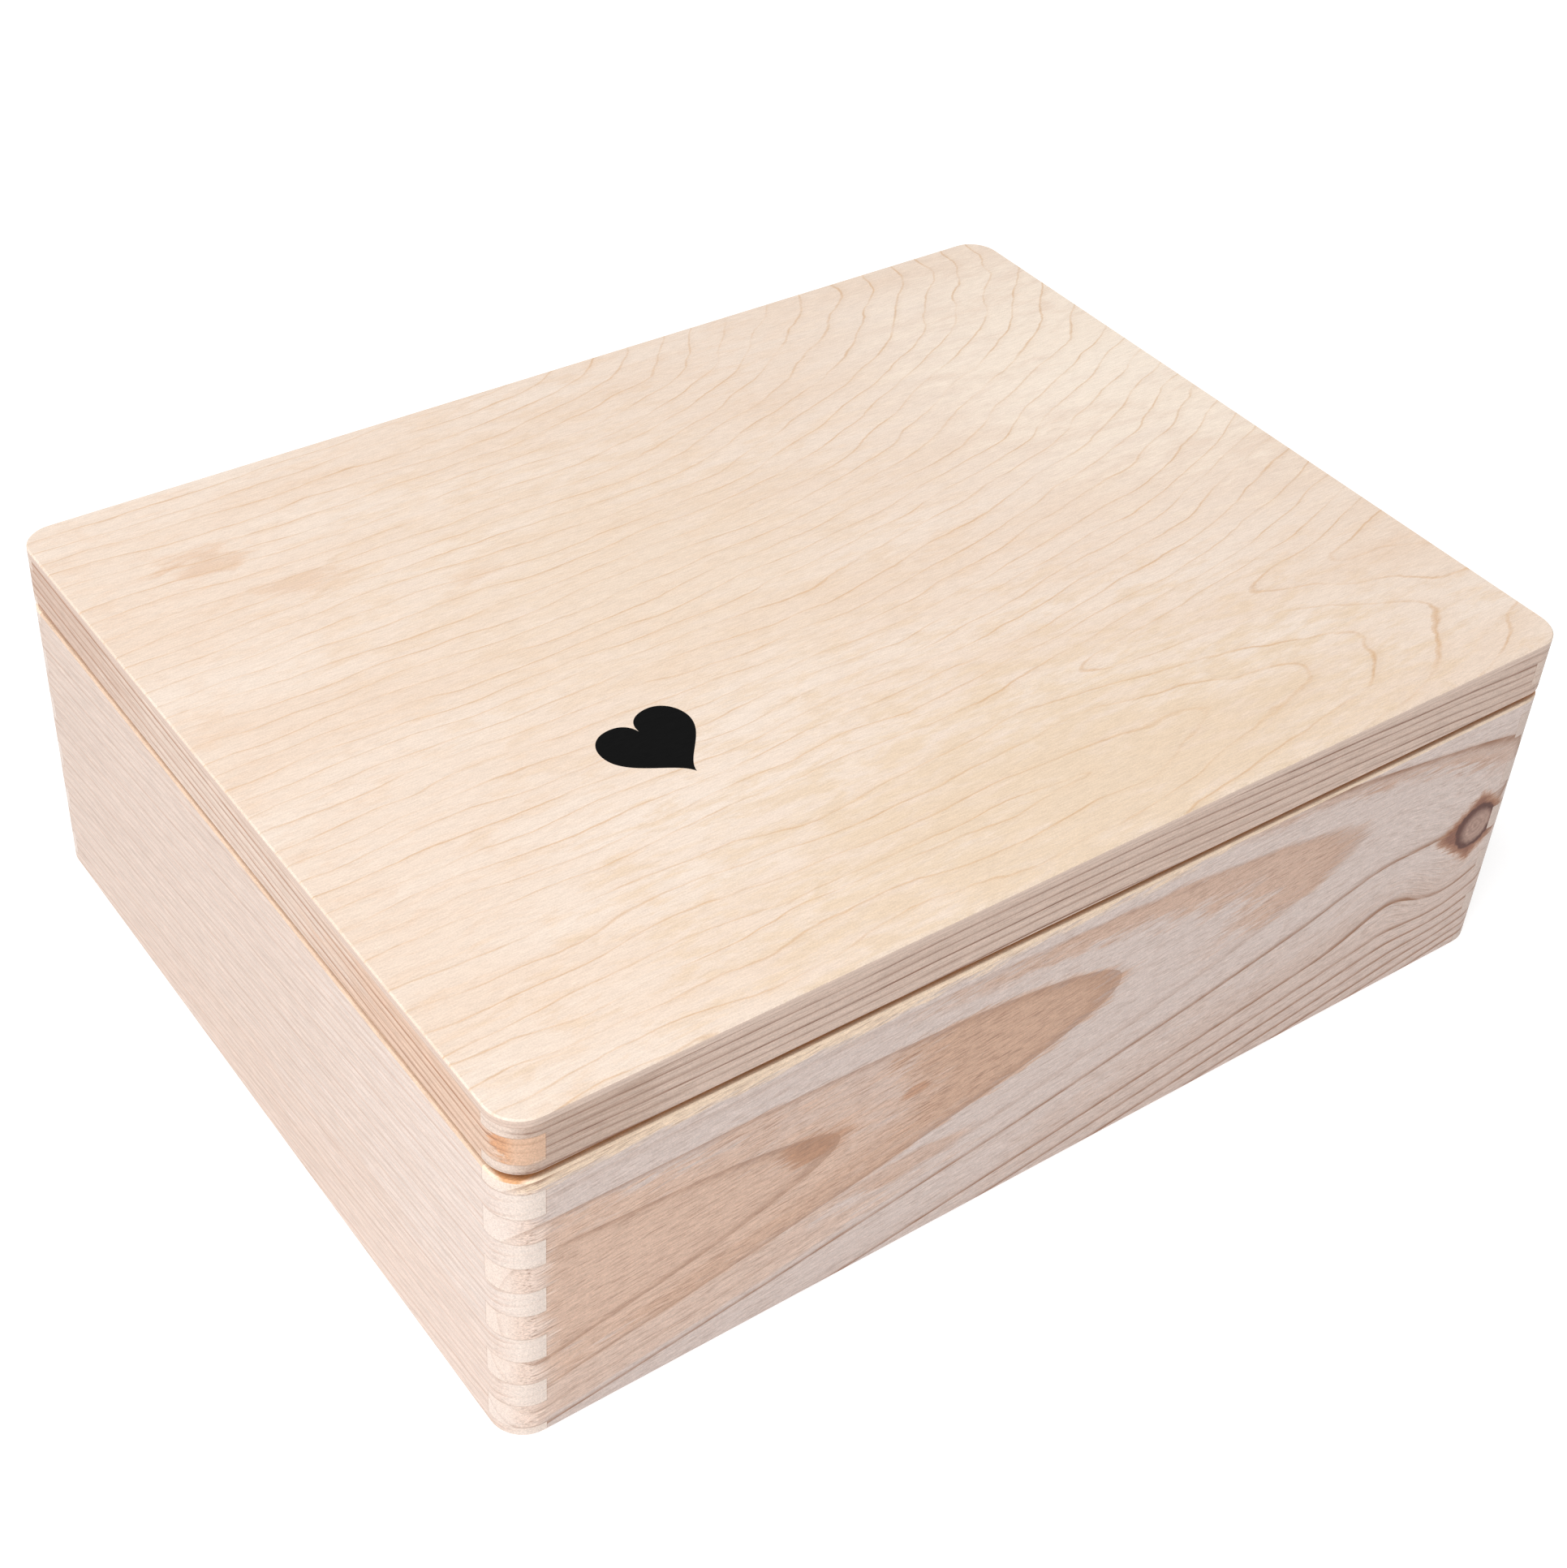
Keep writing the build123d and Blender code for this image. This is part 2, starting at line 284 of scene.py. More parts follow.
def finger_glue(tree, parts, root, fingers_mm, own_finger):
    """Glue lines round the fingers: level ones between them, and an upright one where the other board's end
    comes through. A line is full within full_mm of the joint and gone at faded_mm."""
    full_mm, faded_mm, short_of_root_mm = 0.1, 0.35, 0.05
    along = add_node(tree, "ShaderNodeMath", {0: parts.outputs[root[0]]}, operation="ABSOLUTE")
    finger = add_node(tree, "ShaderNodeMapRange", {"Value": parts.outputs["Z"], "From Min": fingers_mm,
                                                   "From Max": fingers_mm + finger_mm}, clamp=False)
    between = add_node(tree, "ShaderNodeMath", {0: finger, 1: 1.0}, operation="PINGPONG")
    between = add_node(tree, "ShaderNodeMath", {0: between, 1: 0.5}, operation="SUBTRACT")
    between = add_node(tree, "ShaderNodeMath", {0: between}, operation="ABSOLUTE")
    level = add_node(tree, "ShaderNodeMapRange", {"Value": between, "From Min": 0.5 - faded_mm / finger_mm,
                                                  "From Max": 0.5 - full_mm / finger_mm})
    beyond = add_node(tree, "ShaderNodeMath", {0: along, 1: root[1]}, operation="GREATER_THAN")
    level = add_node(tree, "ShaderNodeMath", {0: level, 1: beyond}, operation="MULTIPLY")
    pair = add_node(tree, "ShaderNodeMath", {0: finger, 1: 0.5}, operation="MULTIPLY")
    pair = add_node(tree, "ShaderNodeMath", {0: pair}, operation="FRACT")
    other = add_node(tree, "ShaderNodeMath", {0: pair, 1: 0.5},
                     operation="GREATER_THAN" if own_finger else "LESS_THAN")
    line_place = root[1] - short_of_root_mm
    upright = add_node(tree, "ShaderNodeMapRange", {"Value": along, "From Min": line_place - faded_mm,
                                                    "From Max": line_place - full_mm})
    upright = add_node(tree, "ShaderNodeMath", {0: upright, 1: other}, operation="MULTIPLY")
    return add_node(tree, "ShaderNodeMath", {0: level, 1: upright}, operation="MAXIMUM")


def sawn_rim_and_seam_light(tree, colour, parts, facing, rim):
    """The rim at the seam, where light is painted: along its sanded outer edge a cream painted highlight
    stands in for the lit edge, and further in a honey colour is partly the wood's own and partly a painted
    warm glow of the light bounced into the shade under the lid. Towards the inside it turns to the plain
    colour of the cut pine.
    The rim is its height, the colour of that edge and the honey colour."""
    height_mm, lit_edge_colour, honey = rim
    up = add_node(tree, "ShaderNodeMath", {0: facing.outputs["Z"]}, operation="ABSOLUTE")
    up = add_node(tree, "ShaderNodeMath", {0: up, 1: 0.6}, operation="GREATER_THAN")
    high = add_node(tree, "ShaderNodeMath", {0: parts.outputs["Z"], 1: height_mm, 2: 1.0},
                    operation="COMPARE")
    up = add_node(tree, "ShaderNodeMath", {0: up, 1: high}, operation="MULTIPLY")
    up = add_node(tree, "ShaderNodeMath", {0: up, 1: 0.85}, operation="MULTIPLY")
    depths = []
    for axis, outside_mm in (("X", side_mm), ("Y", -front_mm)):
        depth = add_node(tree, "ShaderNodeMath", {0: parts.outputs[axis]}, operation="ABSOLUTE")
        depths.append(add_node(tree, "ShaderNodeMath", {0: outside_mm, 1: depth}, operation="SUBTRACT"))
    depth = add_node(tree, "ShaderNodeMath", {0: depths[0], 1: depths[1]}, operation="MINIMUM")
    # The outer edge is a cream painted highlight; inward the colour turns partly to a painted warm glow in
    # the seam's shade
    inward = add_node(tree, "ShaderNodeMapRange", {"Value": depth, "From Min": 0.8, "From Max": 2.4},
                      interpolation_type="SMOOTHSTEP")
    rim_colour_and_seam_light = add_node(tree, "ShaderNodeMix", {"Factor": inward, "A": linear(lit_edge_colour),
                                            "B": linear(honey)}, data_type="RGBA")
    inside = add_node(tree, "ShaderNodeMapRange", {"Value": depth, "From Min": 3.5, "From Max": 7.0},
                      interpolation_type="SMOOTHSTEP")
    rim_colour_and_seam_light = add_node(tree, "ShaderNodeMix", {"Factor": inside, "A": rim_colour_and_seam_light, "B": linear("#DAB794")},
                    data_type="RGBA")
    return add_node(tree, "ShaderNodeMix", {"Factor": up, "A": colour, "B": rim_colour_and_seam_light}, data_type="RGBA")


def sanded_pine(name, pith_mm, grain_turn, rings_mm, pale, line, root, fingers_mm, own_finger, rim,
                late_wood=(0.35, 0.6, 0.45, 0.7), line_mm=1.0, wander_mm=1.5, resin=0.4, knots=(), bends=(),
                tints=(), ends="#F3E6DA"):
    """Solid pine: rings round a pith line at pith_mm that runs along the board, turned by grain_turn.
    rings_mm are the radii where each year ends in a dark line, and late_wood how dark it is, year by year.
    A tint is a patch of warmer, greyer or paler wood, and on the front board also a painted highlight: its
    centre, its reach, the radii between which it lies, its strength and its colour. The root is the axis
    and the distance from the middle where the fingers start, fingers_mm is a height where one of them
    starts, and ends is the colour of their end grain."""
    pine, tree, surface, place = bare_material(name)
    facing = add_node(tree, "ShaderNodeSeparateXYZ", {"Vector": surface.outputs["Normal"]})
    parts = add_node(tree, "ShaderNodeSeparateXYZ", {"Vector": place})

    # Log coordinates: X along the pith, Y and Z across it, in millimetres. Every ring wanders a little
    board = bent_grain(tree, place, bends, knots)
    turn = [math.radians(angle) for angle in grain_turn]
    log = add_node(tree, "ShaderNodeMapping", {"Vector": board, "Location": pith_mm, "Rotation": turn},
                   vector_type="TEXTURE")
    slow = add_node(tree, "ShaderNodeVectorMath", {0: log, 1: (0.008, 0.025, 0.025)}, operation="MULTIPLY")
    drift = add_node(tree, "ShaderNodeTexNoise", {"Vector": slow, "Scale": 1.0, "Detail": 2.0})
    drift = add_node(tree, "ShaderNodeVectorMath", {0: drift.outputs["Color"], 1: (0.5, 0.5, 0.5)},
                     operation="SUBTRACT")
    wandering = add_node(tree, "ShaderNodeVectorMath",
                         {0: drift, 1: (0.0, wander_mm, wander_mm), 2: log}, operation="MULTIPLY_ADD")
    across = add_node(tree, "ShaderNodeVectorMath", {0: wandering, 1: (0.0, 1.0, 1.0)},
                      operation="MULTIPLY")
    radius = add_node(tree, "ShaderNodeVectorMath", {0: across}, operation="LENGTH").outputs["Value"]
    season, since_start, until_end, darkness = yearly_growth(tree, radius, rings_mm, late_wood)

    # Clouds 20 mm long and streaks under a millimetre wide, along the grain, fray the edge of all tan wood
    cloud = add_node(tree, "ShaderNodeVectorMath", {0: log, 1: (0.045, 0.24, 0.24)}, operation="MULTIPLY")
    cloud = add_node(tree, "ShaderNodeTexNoise", {"Vector": cloud, "Scale": 1.0, "Detail": 4.0,
                                                  "Roughness": 0.6})
    comb = add_node(tree, "ShaderNodeVectorMath", {0: wandering, 1: (0.06, 1.2, 1.2)},
                    operation="MULTIPLY")
    comb = add_node(tree, "ShaderNodeTexNoise", {"Vector": comb, "Scale": 1.0, "Detail": 2.0})
    fray = add_node(tree, "ShaderNodeMath", {0: comb.outputs["Fac"], 1: 0.9, 2: cloud.outputs["Fac"]},
                    operation="MULTIPLY_ADD")
    fray = add_node(tree, "ShaderNodeMath", {0: fray, 1: 0.95}, operation="SUBTRACT")

    # All that is dark or warm is fainter on the ends of the fingers, where it shows as end grain
    long_grain = add_node(tree, "ShaderNodeMath", {0: facing.outputs[root[0]]}, operation="ABSOLUTE")
    long_grain = add_node(tree, "ShaderNodeMapRange", {"Value": long_grain, "From Min": 0.35,
                                                       "From Max": 0.8, "To Min": 1.0, "To Max": 0.3})

    # Late wood: a thin dark line where the year ends, sharp outside and soft inside, in places worn away
    late = add_node(tree, "ShaderNodeMapRange", {"Value": until_end, "From Min": line_mm * 1.6,
                                                 "From Max": 0.0}, interpolation_type="SMOOTHSTEP")
    soft = add_node(tree, "ShaderNodeMath", {0: season, 1: 4.0}, operation="POWER")
    late = add_node(tree, "ShaderNodeMath", {0: soft, 1: 0.25, 2: late}, operation="MULTIPLY_ADD")
    past = add_node(tree, "ShaderNodeMapRange", {"Value": since_start, "From Min": 0.4, "From Max": 0.0,
                                                 "To Max": 0.35})
    late = add_node(tree, "ShaderNodeMath", {0: late, 1: past}, operation="MAXIMUM")
    darkness = add_node(tree, "ShaderNodeMath", {0: darkness, 1: long_grain}, operation="MULTIPLY")
    worn = add_node(tree, "ShaderNodeMapRange", {"Value": fray, "From Min": -0.25, "From Max": 0.15,
                                                 "To Min": 0.55, "To Max": 1.1})
    dark_line = add_node(tree, "ShaderNodeMath", {0: late, 1: darkness}, operation="MULTIPLY")
    dark_line = add_node(tree, "ShaderNodeMath", {0: dark_line, 1: worn}, operation="MULTIPLY")

    # Tints: warmer wood, tan or peach, with more resin in it, darker and paler patches, and on the front a
    #     painted highlight along the rim
    colour = linear(pale)
    for centre_mm, reach_mm, (inside_mm, outside_mm), amount, warm in tints:
        near = add_node(tree, "ShaderNodeMapping",
                        {"Vector": place, "Location": centre_mm, "Scale": reach_mm}, vector_type="TEXTURE")
        near = add_node(tree, "ShaderNodeVectorMath", {0: near}, operation="LENGTH")
        near = add_node(tree, "ShaderNodeMath", {0: fray, 1: 1.1, 2: near.outputs["Value"]},
                        operation="MULTIPLY_ADD")
        near = add_node(tree, "ShaderNodeMapRange", {"Value": near, "From Min": 1.15, "From Max": 0.7,
                                                     "To Max": amount}, interpolation_type="SMOOTHSTEP")
        start = add_node(tree, "ShaderNodeMath", {0: fray, 1: 6.0, 2: radius}, operation="MULTIPLY_ADD")
        start = add_node(tree, "ShaderNodeMapRange", {"Value": start, "From Min": inside_mm - 1.0,
                                                      "From Max": inside_mm + 1.0},
                         interpolation_type="SMOOTHSTEP")
        end = add_node(tree, "ShaderNodeMath", {0: fray, 1: 2.5, 2: radius}, operation="MULTIPLY_ADD")
        end = add_node(tree, "ShaderNodeMapRange", {"Value": end, "From Min": outside_mm + 0.5,
                                                    "From Max": outside_mm - 0.5})
        for share in (start, long_grain, end):
            near = add_node(tree, "ShaderNodeMath", {0: near, 1: share}, operation="MULTIPLY")
        colour = add_node(tree, "ShaderNodeMix", {"Factor": near, "A": colour, "B": linear(warm)},
                          data_type="RGBA")
        resin = add_node(tree, "ShaderNodeMath", {0: near, 1: 0.25, 2: resin}, operation="MULTIPLY_ADD")

    # The sanded ends of the fibres, where a board's fingers come through, have a colour of their own
    end_grain = add_node(tree, "ShaderNodeMath", {0: long_grain, 1: -0.5, 2: 0.5},
                         operation="MULTIPLY_ADD")
    colour = add_node(tree, "ShaderNodeMix", {"Factor": end_grain, "A": colour, "B": linear(ends)},
                      data_type="RGBA")
    colour = add_node(tree, "ShaderNodeMix", {"Factor": dark_line, "A": colour, "B": linear(line)},
                      data_type="RGBA")

    # Dark streaks of resin, long and short, thickest in the tan wood
    streaks = None
    for per_mm, low, high in (((0.012, 1.1, 1.1), 0.58, 0.76), ((0.022, 2.0, 2.0), 0.54, 0.74),
                              ((0.045, 3.0, 3.0), 0.54, 0.75)):
        streak = add_node(tree, "ShaderNodeVectorMath", {0: wandering, 1: per_mm}, operation="MULTIPLY")
        streak = add_node(tree, "ShaderNodeTexNoise", {"Vector": streak, "Scale": 1.0, "Detail": 2.0})
        streak = add_node(tree, "ShaderNodeMapRange",
                          {"Value": streak.outputs["Fac"], "From Min": low, "From Max": high})
        streaks = streak if streaks is None else add_node(tree, "ShaderNodeMath", {0: streaks, 1: streak},
                                                          operation="MAXIMUM")
    for share in (resin, long_grain):
        streaks = add_node(tree, "ShaderNodeMath", {0: streaks, 1: share}, operation="MULTIPLY")
    colour = add_node(tree, "ShaderNodeMix", {"Factor": streaks, "A": colour, "B": linear("#96705A")},
                      data_type="RGBA")

    # Knots, the glue of the fingers, and the rim with its painted highlight and painted glow
    for knot_mm, knot_radius, squeeze in knots:
        colour = knot_colour(tree, colour, place, streaks, knot_mm, knot_radius)
    glue = finger_glue(tree, parts, root, fingers_mm, own_finger)
    for share in (worn, 0.32):
        glue = add_node(tree, "ShaderNodeMath", {0: glue, 1: share}, operation="MULTIPLY")
    colour = add_node(tree, "ShaderNodeMix", {"Factor": glue, "A": colour, "B": linear("#9C7358")},
                      data_type="RGBA")
    colour = sawn_rim_and_seam_light(tree, colour, parts, facing, rim)

    # Fibres and the grit of the sanding, both drawn half a millimetre wide: coarser than they are, to show
    fibre = add_node(tree, "ShaderNodeVectorMath", {0: log, 1: (0.16, 1.9, 1.9)}, operation="MULTIPLY")
    fibre = add_node(tree, "ShaderNodeTexNoise", {"Vector": fibre, "Scale": 1.0, "Detail": 4.0,
                                                  "Roughness": 0.7})
    sanded_wood(tree, colour, place, fibre, fibre_shades=(0.80, 1.16), grit_per_mm=2.2,
                grit_shades=(0.92, 1.075), roughness=0.62, relief=0.5, relief_m=0.0001)
    return pine


def yearly_rings(first_mm, last_mm, widths_mm):
    """The radii where each year ends, from the widths of a few good and poor years in turn."""
    rings = [first_mm]
    while rings[-1] < last_mm:
        rings.append(rings[-1] + widths_mm[(len(rings) - 1) % len(widths_mm)])
    return rings


# How the boards are joined: the front and back ones carry the fingers on which the count starts, and the
# lid's fingers lie higher by the seam less the saw's kerf
long_joint = dict(root=("X", side_mm - board_mm), own_finger=True)
short_joint = dict(root=("Y", -front_mm - board_mm), own_finger=False)
base_fingers = dict(fingers_mm=first_finger_mm)
lid_fingers = dict(fingers_mm=first_finger_mm + lid_rim_mm - rim_mm - saw_kerf_mm)

# The kinds of pine, each with the colours of its rim, which carry painted light at the seam: a cream
# painted highlight on the outer edge and, further in, a colour partly the wood's own and partly a painted
# warm glow
cream_rim = (rim_mm, "#F3DCC3", "#D89C66")
amber_rim = (rim_mm, "#DDC0A6", "#D59E6E")
lid_rim = (lid_rim_mm, "#CCA88C", "#CDA688")
wide_pine = dict(pale="#D3C2BA", line="#966B4F", line_mm=0.9, rim=cream_rim)
pale_pine = dict(pale="#DCCBC1", line="#BE9A84", late_wood=(0.4, 0.25, 0.5, 0.3, 0.2), resin=0.15,
                 rim=amber_rim)
rail_pine = dict(pale="#CFB7A8", line="#835C47", line_mm=0.65, late_wood=(0.95, 0.45, 1.0, 0.7, 0.55),
                 rim=lid_rim)
peach_pine = dict(pale="#DAC5B6", line="#A26F4E", line_mm=0.8, late_wood=(0.8, 0.45, 0.95, 0.65, 0.4),
                  rim=lid_rim)
tan, peach, red_tan = "#CBA68E", "#DAB9A3", "#B98663"
anywhere = (0.0, 400.0)

# Tints on the front board: its middle and reach, both along and up, the radii between which it lies, its
# strength and its colour. Three tongues of tan follow the rings, the lower right is darker and greyer, the
# end by the corner is pale, and along the rim a cream strip is a painted highlight for the lit top of the
# rim
front_tints = [
    ((along, front_mm, up), (reach_along, 200.0, reach_up), radii, amount, warm)
    for along, up, reach_along, reach_up, radii, amount, warm in (
        (-225.0, 55.0, 195.0, 41.0, (0.0, 51.1), 0.85, "#D9B69F"),
        (-84.0, 80.0, 64.0, 26.0, (43.7, 51.1), 0.6, "#D2B4A2"),
        (-24.0, 74.0, 47.0, 36.0, (45.7, 51.1), 1.0, tan),
        (-80.0, 44.0, 105.0, 26.0, (46.0, 51.1), 0.7, tan),
        (66.0, 90.0, 128.0, 26.0, (54.4, 58.0), 0.75, tan),
        (-96.0, 67.0, 16.0, 8.0, (30.0, 43.7), 0.75, red_tan),
        (150.0, 100.0, 110.0, 20.0, (62.4, 64.2), 0.35, tan),
        (150.0, 100.0, 110.0, 20.0, (62.2, 62.9), 0.5, red_tan),
        (-62.0, 68.5, 6.0, 2.4, (0.0, 60.0), 0.7, red_tan),
        (-170.0, 22.0, 120.0, 24.0, (50.0, 62.0), 0.6, peach),
        # Darker and greyer towards the lower right
        (140.0, 4.0, 170.0, 44.0, anywhere, 0.4, "#CBB0A0"),
        (-203.0, 55.0, 16.0, 200.0, anywhere, 1.0, "#E8D1C3"),
        # A painted highlight: a cream strip along the top of the front stands in for the lit top of the rim
        # under the lid
        (-215.0, 110.0, 290.0, 5.5, anywhere, 0.85, "#F1D7BA"),
        (-66.0, 36.5, 30.0, 4.5, (52.0, 64.0), 0.6, tan),
    )
]
board_logs = {
    "front_board": dict(
        pith_mm=(0, -202.5, 72.4), grain_turn=(0, -5.07, -3.92), wander_mm=1.6,
        rings_mm=(30.0, 43.7, 51.1, 58.0, 64.2, 77.5, 83.7, 88.8, 93.6, 98.0, 101.8, 105.0, 108.0, 111.5,
                  116.0, 120.0),
        late_wood=(0.45, 0.45, 0.2, 0.75, 0.8, 0.75, 0.9, 0.8, 0.9, 0.75, 0.85, 0.7, 0.8, 0.75),
        knots=(((180.5, front_mm, 59.2), 9.6, 0.5),),
        bends=((140.0, 46.0, 42.0, 22.0, 6.0), (180.0, 68.0, 52.0, 34.0, -11.0),
               (174.0, 34.0, 34.0, 30.0, -7.0), (200.0, 104.0, 150.0, 26.0, -9.0)),
        tints=front_tints, **wide_pine, **long_joint, **base_fingers),
    "left_board": dict(
        pith_mm=(-215, 0, 205), grain_turn=(0, 5, 90),
        rings_mm=yearly_rings(90, 215, (3.2, 2.7, 3.6, 3.0, 2.5, 3.4)),
        # Warmer towards the front, darker and greyer towards the back
        tints=(((-200.0, -120.0, 6.0), (200.0, 200.0, 40.0), anywhere, 0.25, "#DCC0AE"),
               ((-200.0, 120.0, 70.0), (200.0, 220.0, 110.0), anywhere, 0.35, "#CFB8A8")),
        **pale_pine, **short_joint, **base_fingers),
    "back_board": dict(
        pith_mm=(0, 195, 40), grain_turn=(0, 3, 2),
        rings_mm=yearly_rings(20, 100, (5.2, 4.4, 6.0, 4.0, 3.6)),
        tints=(((60.0, -front_mm, 50.0), (170.0, 200.0, 46.0), (46.0, 57.0), 0.8, tan),),
        **wide_pine, **long_joint, **base_fingers),
    "right_board": dict(
        pith_mm=(238, 0, 20), grain_turn=(0, -3, 88),
        rings_mm=yearly_rings(20, 110, (4.0, 3.4, 4.4, 3.0)), ends="#CDBAAF",
        tints=(((200.0, 60.0, 60.0), (200.0, 120.0, 40.0), (50.0, 70.0), 0.5, peach),),
        **{**pale_pine, "pale": "#CDBAAF"}, **short_joint, **base_fingers),
    "lid_front_rail": dict(
        pith_mm=(0, -150, 245), grain_turn=(0, 0.5, 0), wander_mm=4.0,
        rings_mm=yearly_rings(105, 140, (3.9, 3.4, 4.3, 3.1, 3.6)),
        bends=((20.0, 122.0, 190.0, 90.0, 1.8), (215.0, 122.0, 120.0, 90.0, -2.6)),
        tints=(((-186.0, front_mm, 121.0), (38.0, 100.0, 60.0), anywhere, 0.9, "#C1A898"),),
        **rail_pine, **long_joint, **lid_fingers),
    "lid_back_rail": dict(
        pith_mm=(0, 150, 0), grain_turn=(0, 1, 0), wander_mm=3.0,
        rings_mm=yearly_rings(105, 140, (3.3, 2.9, 3.6)),
        **rail_pine, **long_joint, **lid_fingers),
    "lid_left_rail": dict(
        pith_mm=(-190, 0, 225), grain_turn=(0, -1, 90), wander_mm=2.5,
        rings_mm=yearly_rings(90, 120, (3.0, 3.6, 2.7)), ends="#D9B394",
        # Warmer towards the front and darker towards the back, with an orange patch at the front corner
        tints=(((-200.0, -165.0, 122.0), (200.0, 110.0, 30.0), anywhere, 0.45, "#D6A987"),
               ((-192.0, front_mm, 124.0), (14.0, 10.0, 10.0), anywhere, 1.7, "#D39C74"),
               ((-200.0, 160.0, 122.0), (200.0, 90.0, 30.0), anywhere, 0.5, "#BF9E8A")),
        **peach_pine, **short_joint, **lid_fingers),
    "lid_right_rail": dict(
        pith_mm=(190, 0, 225), grain_turn=(0, 1, 90), wander_mm=2.5,
        rings_mm=yearly_rings(90, 120, (3.0, 3.6, 2.7)), ends="#CBB3A4",
        **peach_pine, **short_joint, **lid_fingers),
}
for node_name, log_facts in board_logs.items():
    dress(node_name, sanded_pine(f"sanded_pine_{node_name}", **log_facts))

# The bottom and the top of the lid are thin birch plywood. Its face veneer is peeled off the log, so the
# surface dips in and out of the yearly rings and shows them as long wandering contours on a cream ground.
def birch_plywood(name, ply_edges_mm, fans, blotches=()):
    """Birch plywood between two heights. Ring contours run round each fan, which is its centre and the
    spacing of its rings, both along X and Y, and the ring at its centre; to the left of a centre they run
    level. A blotch is its centre and its reach, both along X and Y, its strength and its colour."""
    birch, tree, surface, place = bare_material(name)

    # The height of the veneer in the log, counted in rings. Where a ring ends, its contour shows
    height = None
    for x, y, spacing_x, spacing_y, ring_here in fans:
        away = add_node(tree, "ShaderNodeVectorMath", {0: place, 1: (x, y, 0.0)}, operation="SUBTRACT")
        away = add_node(tree, "ShaderNodeVectorMath", {0: away, 1: (0.0, -endless_mm, -endless_mm)},
                        operation="MAXIMUM")
        away = add_node(tree, "ShaderNodeVectorMath", {0: away, 1: (spacing_x, spacing_y, endless_mm)},
                        operation="DIVIDE")
        away = add_node(tree, "ShaderNodeVectorMath", {0: away}, operation="LENGTH")
        fan = add_node(tree, "ShaderNodeMath", {0: ring_here, 1: away.outputs["Value"]},
                       operation="SUBTRACT")
        height = fan if height is None else add_node(tree, "ShaderNodeMath", {0: height, 1: fan, 2: 1.5},
                                                     operation="SMOOTH_MAX")
    for per_mm, detail, rings in (((0.010, 0.022, 0.0), 2.0, 2.4), ((0.07, 0.14, 0.0), 3.0, 0.25)):
        drift = add_node(tree, "ShaderNodeVectorMath", {0: place, 1: per_mm}, operation="MULTIPLY")
        drift = add_node(tree, "ShaderNodeTexNoise", {"Vector": drift, "Scale": 1.0, "Detail": detail,
                                                      "Roughness": 0.55})
        height = add_node(tree, "ShaderNodeMath", {0: drift.outputs["Fac"], 1: rings, 2: height},
                          operation="MULTIPLY_ADD")
    ring = add_node(tree, "ShaderNodeMath", {0: height}, operation="FRACT")
    contour = add_node(tree, "ShaderNodeValToRGB", {"Fac": ring},
                       stops=((0.0, 0.05), (0.03, 0.0), (0.7, 0.0), (0.91, 0.18), (0.955, 1.0), (1.0, 0.4)))
    worn = add_node(tree, "ShaderNodeVectorMath", {0: place, 1: (0.02, 0.05, 0.0)}, operation="MULTIPLY")
    worn = add_node(tree, "ShaderNodeTexNoise", {"Vector": worn, "Scale": 1.0, "Detail": 4.0,
                                                 "Roughness": 0.65})
    worn = add_node(tree, "ShaderNodeMapRange", {"Value": worn.outputs["Fac"], "From Min": 0.38,
                                                 "From Max": 0.62, "To Min": 0.1, "To Max": 0.65})
    contour = add_node(tree, "ShaderNodeMath", {0: contour, 1: worn}, operation="MULTIPLY")

    # Soft bands of pinker and yellower veneer, then blotches, streaked along the grain
    bands = add_node(tree, "ShaderNodeVectorMath", {0: place, 1: (0.006, 0.03, 0.0)}, operation="MULTIPLY")
    bands = add_node(tree, "ShaderNodeTexNoise", {"Vector": bands, "Scale": 1.0, "Detail": 4.0,
                                                  "Roughness": 0.6})
    bands = add_node(tree, "ShaderNodeMapRange", {"Value": bands.outputs["Fac"], "From Min": 0.35,
                                                  "From Max": 0.68, "To Max": 0.8})
    colour = add_node(tree, "ShaderNodeMix", {"Factor": bands, "A": linear("#E9D8C9"),
                                              "B": linear("#E3CBB6")}, data_type="RGBA")
    mottle = add_node(tree, "ShaderNodeVectorMath", {0: place, 1: (0.045, 0.17, 0.0)}, operation="MULTIPLY")
    mottle = add_node(tree, "ShaderNodeTexNoise", {"Vector": mottle, "Scale": 1.0, "Detail": 5.0,
                                                   "Roughness": 0.68, "Distortion": 0.4})
    faint = add_node(tree, "ShaderNodeMapRange", {"Value": mottle.outputs["Fac"], "From Min": 0.50,
                                                  "From Max": 0.8, "To Max": 0.4})
    colour = add_node(tree, "ShaderNodeMix", {"Factor": faint, "A": colour, "B": linear("#DDB592")},
                      data_type="RGBA")
    for x, y, reach_x, reach_y, amount, stain in blotches:
        near = add_node(tree, "ShaderNodeMapping",
                        {"Vector": place, "Location": (x, y, 0.0), "Scale": (reach_x, reach_y, endless_mm)},
                        vector_type="TEXTURE")
        near = add_node(tree, "ShaderNodeVectorMath", {0: near}, operation="LENGTH")
        near = add_node(tree, "ShaderNodeMath",
                        {0: mottle.outputs["Fac"], 1: -2.4, 2: near.outputs["Value"]},
                        operation="MULTIPLY_ADD")
        near = add_node(tree, "ShaderNodeMapRange", {"Value": near, "From Min": -0.35, "From Max": -1.1,
                                                     "To Max": amount}, interpolation_type="SMOOTHSTEP")
        colour = add_node(tree, "ShaderNodeMix", {"Factor": near, "A": colour, "B": linear(stain)},
                          data_type="RGBA")
    colour = add_node(tree, "ShaderNodeMix", {"Factor": contour, "A": colour, "B": linear("#CDA274")},
                      data_type="RGBA")

